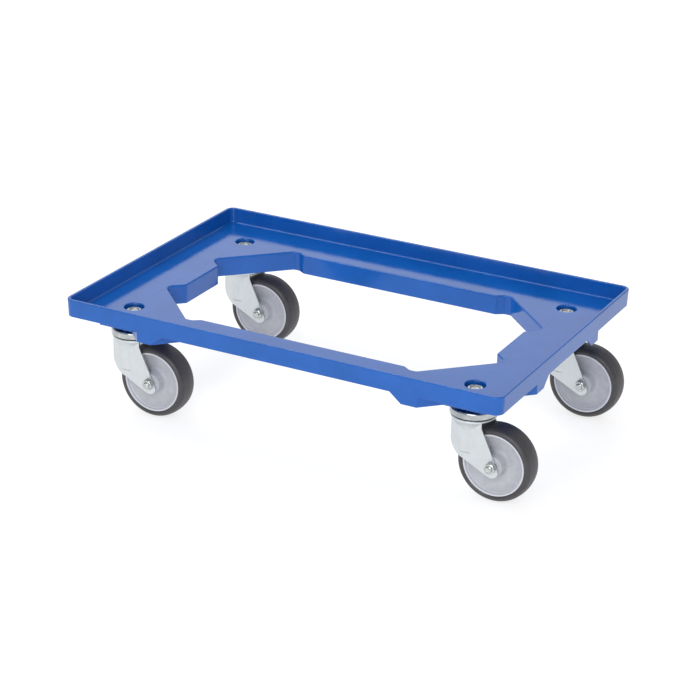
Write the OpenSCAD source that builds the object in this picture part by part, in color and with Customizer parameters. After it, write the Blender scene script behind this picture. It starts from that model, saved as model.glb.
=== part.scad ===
// Open-deck transport dolly for 600 x 400 mm stacking containers.
// A one-piece plastic deck stands on four swivel castors with a bolt-hole fixing.
// Millimetres, +Z up. The origin is on the floor, under the centre of the deck.
// At rest all four castors trail towards +X, as after a push towards -X.

/* [Deck] */
// Outside length of the deck, along X
deck_l = 620; // [560:5:800]
// Outside width of the deck, along Y
deck_w = 420; // [380:5:600]
// Height of the outer wall
wall_h = 24; // [18:1:40]
// Thickness of the outer wall at its top
wall_t = 4.5; // [3:0.5:6]
// How far the outer wall leans in from its top to its bottom
wall_draft = 1; // [0:0.5:2]
// Outside radius of the deck's corners
corner_r = 12; // [9:1:30]
// Thickness of the tray floor
floor_t = 3; // [2:0.5:5]
// Radius of the fillet between the floor and the wall
floor_fillet = 2; // [1:0.5:4]

/* [Opening] */
// Width of the long rails, from the outer wall to the opening
long_rail_w = 74; // [60:1:90]
// Width of the short rails, from the outer wall to the opening
short_rail_w = 81.5; // [70:0.5:100]
// Distance from a castor's axis to the sloping edge of its corner plate
gusset_edge = 56.5; // [48:0.5:64]
// Step of the opening's edge beside a corner plate, on the long rails
long_step = 7; // [4:0.5:12]
// Step of the opening's edge beside a corner plate, on the short rails
short_step = 15.5; // [8:0.5:18]
// Length of the flat land between a step and the sloping edge
land = 9; // [6:0.5:14]
// Radius of the opening's corners
opening_r = 6; // [3:0.5:8]
// Thickness of the flange that hangs round the opening
flange_t = 3.5; // [2.5:0.5:5]
// Depth of that flange below the top of the tray floor
flange_h = 27; // [20:1:32]

/* [Underside] */
// Distance from a castor's axis to the deck's end, along X
castor_inset_x = 64; // [56:1:90]
// Distance from a castor's axis to the deck's side, along Y
castor_inset_y = 67; // [58:1:90]
// Half length of the castor pad along X
pad_half_x = 31; // [28:1:36]
// Half length of the castor pad along Y
pad_half_y = 35; // [30:1:42]
// Drop of the castor pad below the tray floor's underside
pad_drop = 17; // [12:1:22]
// Drop of the diagonal beam below the tray floor's underside
beam_drop = 13.5; // [8:1:16]
// Half width of the diagonal beam's flat bottom
beam_half = 7.5; // [6:0.5:12]
// How far the beam's middle lies outside the castor's axis
beam_shift = 6; // [0:0.5:9]
// How far the beam's inner flank spreads towards the opening
beam_flank = 12.5; // [8:0.5:16]
// Thickness of the ribs under the deck
rib_t = 3; // [2:0.5:4]
// Distance between the cross ribs under the long rails
rib_pitch = 48; // [36:2:80]
// Radius of the counterbore that takes the fixing nut
counterbore_r = 13; // [12:0.5:15]
// Thickness of the boss under the fixing washer
boss_t = 6; // [4:0.5:8]

/* [Castor] */
// Height of a castor, from the floor to its seat on the deck
castor_h = 125; // [122:1:150]
// Wheel diameter
wheel_d = 100; // [80:1:104]
// Width of the tyre
tyre_w = 32; // [24:1:34]
// Thickness of the tyre over the rim
tyre_t = 9; // [6:0.5:12]
// Horizontal distance from the swivel axis to the axle
trail = 35; // [28:1:42]
// Radius of the castor head
head_r = 30.5; // [29:0.5:33]
// Gap between the fork's two legs
fork_gap = 37; // [36:0.5:42]
// Thickness of the fork's sheet steel
sheet_t = 2.5; // [2:0.5:3]
// Running clearance between the axle sleeve and the wheel, on the radius
running_gap = 0.08; // [0.02:0.01:0.1]

/* [Fasteners] */
// Shank radius of the bolt that fixes a castor to the deck
fixing_r = 6; // [4:0.5:6]
// Width across flats of the fixing bolt's head and nut
fixing_af = 19; // [15:1:19]
// Shank radius of the axle bolt
axle_r = 4; // [3:0.5:5]
// Width across flats of the axle bolt's head and nut
axle_af = 13; // [12:1:15]

/* [Hidden] */
$fn = 96;
corner_names = ["front_left", "front_right", "rear_left", "rear_right"];
corner_signs = [[-1, -1], [1, -1], [-1, 1], [1, 1]];
castor_parts = ["race_cap", "race_stem", "upper_balls", "lower_balls", "fork",
                "axle_sleeve", "axle_bolt", "axle_nut", "wheel_centre", "tyre"];

// Heights above the floor
seat_z = castor_h;
floor_under_z = seat_z + pad_drop;
floor_top_z = floor_under_z + floor_t;
rim_z = floor_under_z + wall_h;
axle_z = wheel_d / 2;

// Places in plan
castor_x = deck_l / 2 - castor_inset_x;
castor_y = deck_w / 2 - castor_inset_y;
opening_x = deck_l / 2 - short_rail_w;
opening_y = deck_w / 2 - long_rail_w;
gusset_sum = castor_x + castor_y - gusset_edge * sqrt(2);

// Clearances and small sizes
edge_round = 1.4;       // rounding of the wall's top edges
bolt_hole_gap = 0.25;   // round a fixing bolt, on the radius
axle_hole_gap = 0.15;   // round an axle bolt, on the radius
mouth_chamfer = 1;      // at the mouth of a counterbore
lap = 1;                // overlap of pieces that are moulded as one
reach = 600;            // longer than any part, for cuts

// Castor head, from the seat down
cap_t = 3;              // sheet of the race cap
cap_plateau_r = 24;     // flat top that meets the deck
cap_plateau_h = 5;      // height of that plateau above the skirt's shoulder
cap_h = 15;             // whole height of the cap
upper_ball_d = 6;
upper_pitch_r = 20;
lower_ball_d = 5;
lower_pitch_r = 14;
ball_gap = 0.3;         // between a ball and its tracks
stem_r = 8;
cup_r = 17.5;
cup_t = 3.5;
dish_bore_gap = 2;      // between the stem and the fork's dish
dish_r = 26;
skirt_gap = 2;          // below the skirt of the cap
crown_t = 3;
crown_r = head_r - 1.5;
upper_ball_z = seat_z - cap_t - upper_ball_d / 2 + 0.2;
dish_top_z = upper_ball_z - upper_ball_d / 2 + 0.3;
dish_under_z = dish_top_z - crown_t;
lower_ball_z = dish_under_z - lower_ball_d / 2 + 0.2;
cup_top_z = lower_ball_z - lower_ball_d / 2 + 0.3;
cup_under_z = cup_top_z - cup_t;
crown_top_z = seat_z - cap_h - skirt_gap;
crown_under_z = crown_top_z - crown_t;

// Fork legs
leg_inner_y = fork_gap / 2;
leg_outer_y = leg_inner_y + sheet_t;
leg_lead_x = -(crown_r - 7);        // leading edge of a leg
leg_rear_x = crown_r - 9;           // rear edge of a leg where it meets the crown
flare_z = crown_under_z - 18;       // where the legs begin to spread towards the crown
crease_x = -8;                      // crease where the leading edge is bent in
lead_angle = 12;                    // angle of that bend
channel_w = 16;                     // stiffening channel pressed into a leg
channel_depth = 0.6;

// Wheel
hub_gap = 0.3;          // between the hub and a fork leg
hub_r = 13;
sleeve_r = 6.5;
rim_r = wheel_d / 2 - tyre_t;
rim_lip = 2.5;
rim_half = tyre_w / 2 - 1;
web_recess = 9.5;       // depth of the dished disc below the rim's lip
tyre_shoulder = 8;
tread_crown = 0.8;
key_w = 8;              // ridge that keys the tyre to the wheel centre
key_h = 1.5;

// Fasteners
fixing_head_h = 6.4;
fixing_nut_h = 8;
fixing_end = -1;        // bolt end beyond its nut, negative where it stops inside
washer_t = 2;
washer_r = 12;
washer_bore_gap = 0.5;
axle_head_h = 5.3;
axle_nut_h = 6.5;
axle_end = 2.5;
boss_top_z = seat_z + boss_t;

blue = [0.11, 0.33, 0.74];
zinc = [0.78, 0.80, 0.82];
steel = [0.66, 0.68, 0.70];
pale_grey = [0.66, 0.67, 0.70];
dark_grey = [0.22, 0.21, 0.22];

// ---------------------------------------------------------------- outlines

function unit(v) = v / norm(v);
function left_of(v) = [-v.y, v.x];
function turned(v, a) = [v.x * cos(a) - v.y * sin(a), v.x * sin(a) + v.y * cos(a)];

// The closed outline p, which runs anticlockwise, moved outwards by d
function moved_outline(p, d) = [
    for (i = [0:len(p) - 1])
        let (u = unit(p[i] - p[(i + len(p) - 1) % len(p)]),
             v = unit(p[(i + 1) % len(p)] - p[i]),
             n = -left_of(u) - left_of(v))
        p[i] + n * d / (1 + u * v)
];

// An arc of n steps that rounds the corner b between a and c
function corner_arc(a, b, c, r, n) =
    let (u = unit(b - a), v = unit(c - b), side = sign(cross(u, v)),
         turn = acos(max(-1, min(1, u * v))),
         start = b - u * r * tan(turn / 2), centre = start + left_of(u) * side * r)
    [for (k = [0:n]) centre + turned(start - centre, side * turn * k / n)];

// The closed outline p with its corners rounded by r
function rounded_outline(p, r, n = 5) = [
    for (i = [0:len(p) - 1])
        each corner_arc(p[(i + len(p) - 1) % len(p)], p[i], p[(i + 1) % len(p)], r, n)
];

function rectangle(l, w) = [[-l, -w] / 2, [l, -w] / 2, [l, w] / 2, [-l, w] / 2];

// One quarter of the opening, from its short edge round to its long edge
opening_quarter = [
    [opening_x, gusset_sum - opening_x - short_step - land - short_step * 0.95],
    [opening_x + short_step, gusset_sum - opening_x - short_step - land],
    [opening_x + short_step, gusset_sum - opening_x - short_step],
    [gusset_sum - opening_y - long_step, opening_y + long_step],
    [gusset_sum - opening_y - long_step - land, opening_y + long_step],
    [gusset_sum - opening_y - long_step * 2.4 - land, opening_y]
];
function quarter(sx, sy) =
    let (q = [for (p = opening_quarter) [p.x * sx, p.y * sy]], n = len(q) - 1)
    sx * sy > 0 ? q : [for (i = [0:n]) q[n - i]];
opening_points = concat(quarter(1, 1), quarter(-1, 1), quarter(-1, -1), quarter(1, -1));

// The opening, grown by d, as a rounded outline
module opening_shape(d = 0) {
    polygon(rounded_outline(moved_outline(opening_points, d), opening_r));
}

// The deck's plan, shrunk by d from the wall's foot
module deck_shape(d = 0) {
    foot = wall_draft + d;
    polygon(rounded_outline(rectangle(deck_l - 2 * foot, deck_w - 2 * foot), corner_r - foot, 10));
}

// ---------------------------------------------------------------- deck

// Section of the outer wall: x is the distance from the corner's centre, y the height
module wall_section() {
    outer = corner_r;
    inner_top = corner_r - wall_t;
    inner_foot = inner_top - wall_draft;
    r = edge_round;
    f = floor_fillet;
    polygon(concat(
        [[inner_foot - f - lap, 0], [outer - wall_draft, 0]],
        [for (a = [0:15:90]) [outer - r + r * cos(a), wall_h - r + r * sin(a)]],
        [for (a = [90:15:180]) [inner_top + r + r * cos(a), wall_h - r + r * sin(a)]],
        [for (a = [0:-15:-90]) [inner_foot - f + f * cos(a), floor_t + f + f * sin(a)]],
        [[inner_foot - f - lap, floor_t]]
    ));
}

// The wall's section swept round the deck
module outer_wall() {
    run_x = deck_l - 2 * corner_r;
    run_y = deck_w - 2 * corner_r;
    for (s = [0, 1]) {
        mirror([0, s, 0]) translate([-run_x / 2, run_y / 2, 0])
            rotate([90, 0, 90]) linear_extrude(run_x) wall_section();
        mirror([s, 0, 0]) translate([run_x / 2, run_y / 2, 0])
            rotate([90, 0, 0]) linear_extrude(run_y) wall_section();
        for (t = [0, 1])
            mirror([s, 0, 0]) mirror([0, t, 0]) translate([run_x / 2, run_y / 2, 0])
                rotate_extrude(angle = 90) wall_section();
    }
}

module tray_floor() {
    inner = wall_t + floor_fillet;
    linear_extrude(floor_t) difference() {
        deck_shape(inner);
        opening_shape(flange_t / 2);
    }
}

// The flange that hangs round the opening
module opening_flange() {
    translate([0, 0, floor_t - flange_h]) linear_extrude(flange_h) difference() {
        opening_shape(flange_t);
        opening_shape();
    }
}

// Ribs that taper from the flange to the outer wall
module cross_ribs() {
    depth = flange_h - floor_t;
    long_run = long_rail_w - flange_t / 2 - wall_t;
    short_run = short_rail_w - flange_t / 2 - wall_t;
    count = floor((gusset_sum - opening_y - long_step * 2.4 - land - lap) / rib_pitch);
    for (side = [0, 1]) {
        for (i = [-count:count])
            mirror([0, side, 0]) translate([i * rib_pitch - rib_t / 2, opening_y + flange_t / 2, 0])
                rotate([90, 0, 90]) linear_extrude(rib_t)
                    polygon([[0, lap], [0, -depth + 2], [long_run, 0], [long_run, lap]]);
        for (i = [-1, 1])
            mirror([side, 0, 0]) translate([opening_x + flange_t / 2, i * rib_pitch / 2 + rib_t / 2, 0])
                rotate([90, 0, 0]) linear_extrude(rib_t)
                    polygon([[0, lap], [0, -depth + 2], [short_run, 0], [short_run, lap]]);
    }
}

// A diagonal beam under a corner plate, from one outer wall to the other, open below
module corner_beam() {
    intersection() {
        difference() {
            beam_prism(0, beam_drop);
            intersection() {
                beam_prism(rib_t, beam_drop + lap);
                translate([-castor_x, -castor_y, -reach / 2]) linear_extrude(reach)
                    deck_shape(rib_t + wall_draft);
            }
        }
        translate([-castor_x, -castor_y, -reach / 2]) linear_extrude(reach) deck_shape();
    }
}

// The beam's cross-section, thinned by t on each flank, drawn through the castor's axis
module beam_prism(t, drop) {
    slope = beam_flank / beam_drop;
    inner_top = -beam_half - beam_flank + t * 1.3;
    rotate([0, 0, -45]) rotate([90, 0, 90]) translate([beam_shift, 0, -reach / 2]) linear_extrude(reach)
        polygon([[inner_top, t > 0 ? 0 : lap], [inner_top + slope * drop, -drop],
                 [beam_half - t, -drop], [beam_half - t, t > 0 ? 0 : lap]]);
}

// A brace from the beam's foot on the long wall back to the flange
module flange_brace() {
    wall_y = deck_w / 2 - wall_t;
    foot_x = castor_x + castor_y - deck_w / 2 - (beam_half - beam_shift) * sqrt(2);
    run = (wall_y - opening_y - flange_t / 2) * sqrt(2);
    intersection() {
        translate([foot_x, wall_y, 0]) rotate([0, 0, -135]) rotate([90, 0, 0])
            translate([-flange_t, 0, -rib_t / 2]) linear_extrude(rib_t)
                polygon([[0, lap], [0, -beam_drop], [run + flange_t, -beam_drop], [run + flange_t, lap]]);
        translate([0, 0, -reach / 2]) linear_extrude(reach) deck_shape();
    }
}

// The ribbed pad that a castor's head seats on
module castor_pad() {
    boss_r = counterbore_r + rib_t;
    translate([0, 0, -pad_drop]) linear_extrude(pad_drop + lap) {
        difference() {
            square([2 * pad_half_x, 2 * pad_half_y], center = true);
            square([2 * (pad_half_x - rib_t), 2 * (pad_half_y - rib_t)], center = true);
        }
        circle(boss_r);
        for (a = [0, 90])
            rotate(a) square([2 * pad_half_y - rib_t, rib_t], center = true);
        intersection() {
            square([2 * pad_half_x - rib_t, 2 * pad_half_y - rib_t], center = true);
            for (a = [45, 135])
                rotate(a) square([reach, rib_t], center = true);
        }
    }
}

module counterbore() {
    drop = pad_drop - boss_t;
    translate([0, 0, -drop]) cylinder(r = counterbore_r, h = drop + floor_t + lap);
    translate([0, 0, -pad_drop - lap]) cylinder(r = fixing_r + bolt_hole_gap, h = pad_drop);
    translate([0, 0, floor_t - mouth_chamfer])
        cylinder(r1 = counterbore_r, r2 = counterbore_r + 2 * mouth_chamfer, h = 2 * mouth_chamfer);
}

module deck() {
    color(blue) translate([0, 0, floor_under_z]) difference() {
        union() {
            outer_wall();
            tray_floor();
            opening_flange();
            cross_ribs();
            for (s = corner_signs)
                mirror([s.x < 0 ? 1 : 0, 0, 0]) mirror([0, s.y < 0 ? 1 : 0, 0]) {
                    flange_brace();
                    translate([castor_x, castor_y, 0]) {
                        corner_beam();
                        castor_pad();
                    }
                }
        }
        for (s = corner_signs)
            translate([s.x * castor_x, s.y * castor_y, 0]) counterbore();
    }
}

// ---------------------------------------------------------------- castor head

// A ring of balls of diameter d at radius r and height z
module ball_ring(d, r, z) {
    count = floor(2 * PI * r / (d + 0.6));
    color(steel) for (i = [0:count - 1])
        rotate([0, 0, i * 360 / count]) translate([r, 0, z]) sphere(d = d, $fn = 24);
}

// The round track that such balls run in
module ball_track(d, r, z) {
    translate([0, 0, z]) rotate_extrude() translate([r, 0]) circle(r = d / 2 + ball_gap, $fn = 48);
}

// Pressed cap, fixed under the deck: upper race, with a skirt over the balls
module race_cap() {
    shoulder_z = seat_z - cap_plateau_h;
    skirt_in = head_r - cap_t * 0.8;
    color(zinc) difference() {
        rotate_extrude() polygon([
            [stem_r, seat_z], [cap_plateau_r - 1.2, seat_z], [cap_plateau_r - 0.3, seat_z - 0.4],
            [cap_plateau_r, seat_z - 1.2], [cap_plateau_r + 0.6, shoulder_z + 1],
            [cap_plateau_r + 1.6, shoulder_z + 0.2], [head_r - 2.6, shoulder_z - 0.6],
            [head_r - 1, shoulder_z - 1.4], [head_r - 0.2, shoulder_z - 2.6],
            [head_r, shoulder_z - 4], [head_r, seat_z - cap_h + 1], [head_r - 0.5, seat_z - cap_h],
            [skirt_in + 0.3, seat_z - cap_h], [skirt_in, seat_z - cap_h + 0.5],
            [skirt_in, shoulder_z - 4.4], [skirt_in - 1, shoulder_z - 3],
            [cap_plateau_r + 0.4, shoulder_z - 2.4], [cap_plateau_r - 0.6, seat_z - cap_t],
            [stem_r, seat_z - cap_t]
        ]);
        ball_track(upper_ball_d, upper_pitch_r, upper_ball_z);
    }
}

// Hollow stem with the lower race at its foot, riveted into the cap
module race_stem() {
    color(zinc) difference() {
        rotate_extrude() polygon([
            [fixing_r + bolt_hole_gap, cup_under_z], [cup_r - 2, cup_under_z],
            [cup_r, cup_under_z + 1.6], [cup_r, cup_top_z], [stem_r, cup_top_z],
            [stem_r, seat_z], [fixing_r + bolt_hole_gap, seat_z]
        ]);
        ball_track(lower_ball_d, lower_pitch_r, lower_ball_z);
    }
}

// ---------------------------------------------------------------- fork

// Crown of the fork: an outer flat ring and a raised dish between the two ball rows
module fork_crown() {
    bore_r = stem_r + dish_bore_gap;
    difference() {
        rotate_extrude() polygon([
            [bore_r, dish_under_z], [dish_r - crown_t - 1, dish_under_z],
            [dish_r - crown_t, dish_under_z - 1.5], [dish_r - crown_t + 0.6, crown_under_z],
            [crown_r - 0.8, crown_under_z], [crown_r, crown_under_z + 0.8],
            [crown_r, crown_top_z - 0.8], [crown_r - 0.8, crown_top_z],
            [dish_r + 0.8, crown_top_z], [dish_r, crown_top_z + 1],
            [dish_r - 0.6, dish_top_z - 1.2], [dish_r - 1.8, dish_top_z], [bore_r, dish_top_z]
        ]);
        ball_track(upper_ball_d, upper_pitch_r, upper_ball_z);
        ball_track(lower_ball_d, lower_pitch_r, lower_ball_z);
    }
}

// Outline of a leg in the XZ plane, from the crown down to the axle
module leg_outline() {
    top_z = crown_top_z - 0.5;
    knee = [leg_lead_x, axle_z + 13];
    toe = [trail - 1, axle_z - 15.5];
    heel = [trail + 12, axle_z - 11];
    neck = [leg_rear_x, crown_top_z - 10];
    polygon(concat(
        [[leg_rear_x, top_z], [leg_lead_x, top_z]],
        corner_arc([leg_lead_x, top_z], knee, toe, 26, 8),
        corner_arc(knee, toe, heel, 7.5, 5),
        corner_arc(toe, heel, neck, 7.5, 6),
        corner_arc(heel, neck, [leg_rear_x, top_z], 6, 4)
    ));
}

// The flat sheet of a leg, with its leading edge bent in at the crease
module leg_sheet() {
    translate([crease_x, leg_inner_y, 0]) cube([reach, sheet_t, crown_top_z]);
    translate([crease_x, leg_outer_y, 0]) rotate([0, 0, lead_angle])
        translate([-reach, -sheet_t, 0]) cube([reach, sheet_t, crown_top_z]);
}

// The sheet that spreads from the legs to the round crown
module leg_flare() {
    spread = crown_r - leg_outer_y;
    steps = 8;
    curve = [for (i = [0:steps]) [leg_outer_y + spread * pow(i / steps, 2),
                                  flare_z + (crown_under_z - flare_z) * i / steps]];
    intersection() {
        rotate_extrude() polygon(concat(curve, [[crown_r, crown_under_z + 1],
            [crown_r - sheet_t, crown_under_z + 1]],
            [for (i = [steps:-1:0]) curve[i] - [sheet_t, 0]]));
        translate([-reach / 2, leg_inner_y, 0]) cube(reach);
    }
}

// A shallow channel pressed into a leg's outer face, with sloping sides
module leg_channel() {
    half = channel_w / 2;
    translate([0, 0, axle_z + 12]) linear_extrude(flare_z - axle_z - 10)
        polygon([[-half, leg_outer_y + lap], [-half, leg_outer_y],
                 [-half + 3, leg_outer_y - channel_depth],
                 [half - 3, leg_outer_y - channel_depth], [half, leg_outer_y], [half, leg_outer_y + lap]]);
}

// One leg of the fork, on the +Y side
module fork_leg() {
    intersection() {
        union() {
            difference() {
                leg_sheet();
                leg_channel();
            }
            leg_flare();
        }
        translate([0, reach / 2, 0]) rotate([90, 0, 0]) linear_extrude(reach) leg_outline();
    }
}

module fork() {
    color(zinc) difference() {
        union() {
            fork_crown();
            for (side = [0, 1])
                mirror([0, side, 0]) fork_leg();
        }
        translate([trail, reach / 2, axle_z]) rotate([90, 0, 0])
            cylinder(r = axle_r + axle_hole_gap, h = reach);
    }
}

// ---------------------------------------------------------------- wheel

// Places a child, modelled about Z, on the castor's axle along Y
module on_axle() {
    translate([trail, 0, axle_z]) rotate([90, 0, 0]) children();
}

// Half section of the wheel centre, from its middle plane outwards
wheel_hub_half = leg_inner_y - hub_gap;
centre_half = [
    [hub_r - 1, wheel_hub_half], [hub_r, wheel_hub_half - 1], [hub_r + 2, rim_half - 6],
    [hub_r + 4.5, rim_half - web_recess], [rim_r - rim_lip - 9, rim_half - web_recess + 2],
    [rim_r - rim_lip - 2.5, rim_half - web_recess + 4.5], [rim_r - rim_lip - 0.5, rim_half - 3],
    [rim_r - rim_lip, rim_half - 1], [rim_r - rim_lip + 0.8, rim_half],
    [rim_r, rim_half], [rim_r, key_w / 2 + key_h], [rim_r + key_h, key_w / 2]
];

function mirrored_down(p) = [for (i = [len(p) - 1:-1:0]) [p[i].x, -p[i].y]];

module wheel_centre() {
    bore = sleeve_r + running_gap;
    color(pale_grey) on_axle() rotate_extrude()
        polygon(concat([[bore, -wheel_hub_half], [bore, wheel_hub_half]], centre_half,
                       mirrored_down(centre_half)));
}

// Half section of the tyre's outside, from its side wall to the middle of the tread
tyre_r = wheel_d / 2;
tyre_half = concat(
    [[rim_r, rim_half], [rim_r + 1, tyre_w / 2 - 0.4], [rim_r + 1.8, tyre_w / 2]],
    [for (a = [80:-10:10])
        [tyre_r - tread_crown - (tyre_r - tread_crown - rim_r - 1.8) * (1 - cos(a)),
         tyre_w / 2 - tyre_shoulder * (1 - sin(a))]],
    [for (t = [0:0.25:1])
        [tyre_r - tread_crown * (1 - t) * (1 - t), (tyre_w / 2 - tyre_shoulder) * (1 - t)]]
);
tyre_bond = [[rim_r, key_w / 2 + key_h], [rim_r + key_h, key_w / 2]];

module tyre() {
    outside = [for (i = [0:len(tyre_half) - 2]) tyre_half[i]];
    color(dark_grey) on_axle() rotate_extrude()
        polygon(concat(outside, [[tyre_r, 0]], mirrored_down(outside),
                       [for (i = [0:1]) [tyre_bond[i].x, -tyre_bond[i].y]],
                       [for (i = [1:-1:0]) tyre_bond[i]]));
}

// ---------------------------------------------------------------- fasteners

// A hexagonal prism of width af across its flats, with its corners turned off
module hex_prism(af, h) {
    intersection() {
        cylinder(r = af / 2 / cos(30), h = h, $fn = 6);
        union() {
            cylinder(r = af / 2 / cos(30) + 1, h = h - af * 0.06);
            translate([0, 0, h - af * 0.06])
                cylinder(r1 = af / 2 / cos(30), r2 = af / 2 * 0.96, h = af * 0.06);
        }
    }
}

// A shank from z = 0 up to h, with a chamfered end
module shank(r, h) {
    cylinder(r = r, h = h - 1);
    translate([0, 0, h - 1]) cylinder(r1 = r, r2 = r - 0.8, h = 1);
}

module fixing_bolt() {
    end_z = boss_top_z + washer_t + fixing_nut_h + fixing_end;
    translate([0, 0, cup_under_z]) {
        mirror([0, 0, 1]) hex_prism(fixing_af, fixing_head_h);
        shank(fixing_r, end_z - cup_under_z);
    }
}

module fixing_washer() {
    translate([0, 0, boss_top_z]) difference() {
        cylinder(r = washer_r, h = washer_t);
        translate([0, 0, -lap]) cylinder(r = fixing_r + washer_bore_gap, h = washer_t + 2 * lap);
    }
}

module fixing_nut() {
    translate([0, 0, boss_top_z + washer_t]) difference() {
        hex_prism(fixing_af, fixing_nut_h);
        translate([0, 0, -lap]) cylinder(r = fixing_r, h = fixing_nut_h + 2 * lap);
    }
}

// One child at each castor's axis
module at_castors() {
    for (s = corner_signs)
        translate([s.x * castor_x, s.y * castor_y, 0]) children();
}

module fixing_bolts() {
    color(steel) at_castors() fixing_bolt();
}

module fixing_washers() {
    color(zinc) at_castors() fixing_washer();
}

module fixing_nuts() {
    color(zinc) at_castors() fixing_nut();
}

// Spacer tube that the wheel turns on, clamped between the legs
module axle_sleeve() {
    color(steel) on_axle() translate([0, 0, -leg_inner_y]) difference() {
        cylinder(r = sleeve_r, h = fork_gap);
        translate([0, 0, -lap]) cylinder(r = axle_r + axle_hole_gap, h = fork_gap + 2 * lap);
    }
}

// The bolt's head is on the +Y side, its nut on the -Y side
module axle_bolt() {
    color(zinc) on_axle() translate([0, 0, -leg_outer_y]) {
        mirror([0, 0, 1]) hex_prism(axle_af, axle_head_h);
        shank(axle_r, 2 * leg_outer_y + axle_nut_h + axle_end);
    }
}

module axle_nut() {
    color(zinc) on_axle() translate([0, 0, leg_outer_y]) difference() {
        hex_prism(axle_af, axle_nut_h);
        translate([0, 0, -lap]) cylinder(r = axle_r, h = axle_nut_h + 2 * lap);
    }
}

module castor_part(part) {
    if (part == "race_cap") race_cap();
    if (part == "race_stem") race_stem();
    if (part == "upper_balls") ball_ring(upper_ball_d, upper_pitch_r, upper_ball_z);
    if (part == "lower_balls") ball_ring(lower_ball_d, lower_pitch_r, lower_ball_z);
    if (part == "fork") fork();
    if (part == "axle_sleeve") axle_sleeve();
    if (part == "axle_bolt") axle_bolt();
    if (part == "axle_nut") axle_nut();
    if (part == "wheel_centre") wheel_centre();
    if (part == "tyre") tyre();
}

// ---------------------------------------------------------------- assembly

deck();
fixing_bolts();
fixing_washers();
fixing_nuts();
for (part = castor_parts, i = [0:3])
    translate([corner_signs[i].x * castor_x, corner_signs[i].y * castor_y, 0]) castor_part(part);
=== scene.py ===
"""Builds the looks of an open-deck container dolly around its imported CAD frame.

Everything is in metres, +Z up, with the origin on the floor under the centre of the deck.
"""

import math

import bmesh
import bpy
from bpy.props import FloatProperty, FloatVectorProperty, IntProperty, PointerProperty
from mathutils import Matrix, Vector


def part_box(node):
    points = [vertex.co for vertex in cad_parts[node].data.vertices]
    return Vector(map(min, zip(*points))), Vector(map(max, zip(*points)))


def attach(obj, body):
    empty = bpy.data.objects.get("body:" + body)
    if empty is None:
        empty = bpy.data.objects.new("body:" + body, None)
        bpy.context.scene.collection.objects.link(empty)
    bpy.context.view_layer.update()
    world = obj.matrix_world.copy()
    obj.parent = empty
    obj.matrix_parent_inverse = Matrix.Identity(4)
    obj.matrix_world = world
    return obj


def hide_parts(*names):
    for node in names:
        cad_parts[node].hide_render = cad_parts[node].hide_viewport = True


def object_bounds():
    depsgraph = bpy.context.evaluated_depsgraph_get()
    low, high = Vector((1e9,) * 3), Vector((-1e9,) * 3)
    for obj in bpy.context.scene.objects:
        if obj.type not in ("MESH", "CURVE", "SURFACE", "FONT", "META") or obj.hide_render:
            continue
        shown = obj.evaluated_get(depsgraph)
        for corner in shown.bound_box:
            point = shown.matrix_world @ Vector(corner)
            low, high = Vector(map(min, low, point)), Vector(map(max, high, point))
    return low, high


bl_info = {
    "name": "Container Dolly",
    "version": (1, 0, 0),
    "blender": (4, 5, 0),
    "location": "View3D > Sidebar > Dolly",
    "description": "Open-deck dolly for stacking containers, on four swivel castors",
    "category": "Add Mesh",
}

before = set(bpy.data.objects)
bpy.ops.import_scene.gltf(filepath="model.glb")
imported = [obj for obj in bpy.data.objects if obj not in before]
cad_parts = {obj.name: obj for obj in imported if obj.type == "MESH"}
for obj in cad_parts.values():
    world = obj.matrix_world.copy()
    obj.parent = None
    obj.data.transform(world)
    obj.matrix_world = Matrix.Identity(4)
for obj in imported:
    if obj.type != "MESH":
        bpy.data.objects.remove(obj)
CAD_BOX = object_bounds()

CORNERS = ("front_left", "front_right", "rear_left", "rear_right")
FULL_TURN = 2 * math.pi
UPPER_BALLS = 19
LOWER_BALLS = 15


def middle(node):
    """Centre of a CAD node's box."""
    low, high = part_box(node)
    return (low + high) / 2


def extent(node):
    """Lengths of a CAD node's box along X, Y and Z."""
    low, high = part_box(node)
    return high - low


TYRE_SIZE = extent("tyre_front_left")
CENTRE_SIZE = extent("wheel_centre_front_left")
CAP_SIZE = extent("race_cap_front_left")
NUT_SIZE = extent("axle_nut_front_left")


# ---------------------------------------------------------------- settings


def metres(name, description, **limits):
    """A setting that is a length."""
    return FloatProperty(name=name, description=description, unit="LENGTH", **limits)


def tint(name, description, default):
    """A setting that is a colour."""
    return FloatVectorProperty(name=name, description=description, subtype="COLOR",
                               size=3, min=0, max=1, default=default)


class DeckSettings(bpy.types.PropertyGroup):
    """Sizes and colour of the deck moulding."""

    blue: tint(
        "Blue", "Colour of the deck's plastic",
        default=(0.002, 0.098, 0.425))
    gloss: FloatProperty(
        name="Roughness", description="Roughness of the moulded skin",
        subtype="FACTOR", min=0, max=1, default=0.11)
    edge_round: metres(
        "Edge rounding", "Rounding of the moulding's plain edges",
        min=0.0002, max=0.001, default=0.0006)
    opening_round: metres(
        "Opening rounding", "Rounding where the tray floor turns down into the opening",
        min=0.001, max=0.0034, default=0.0022)


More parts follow.
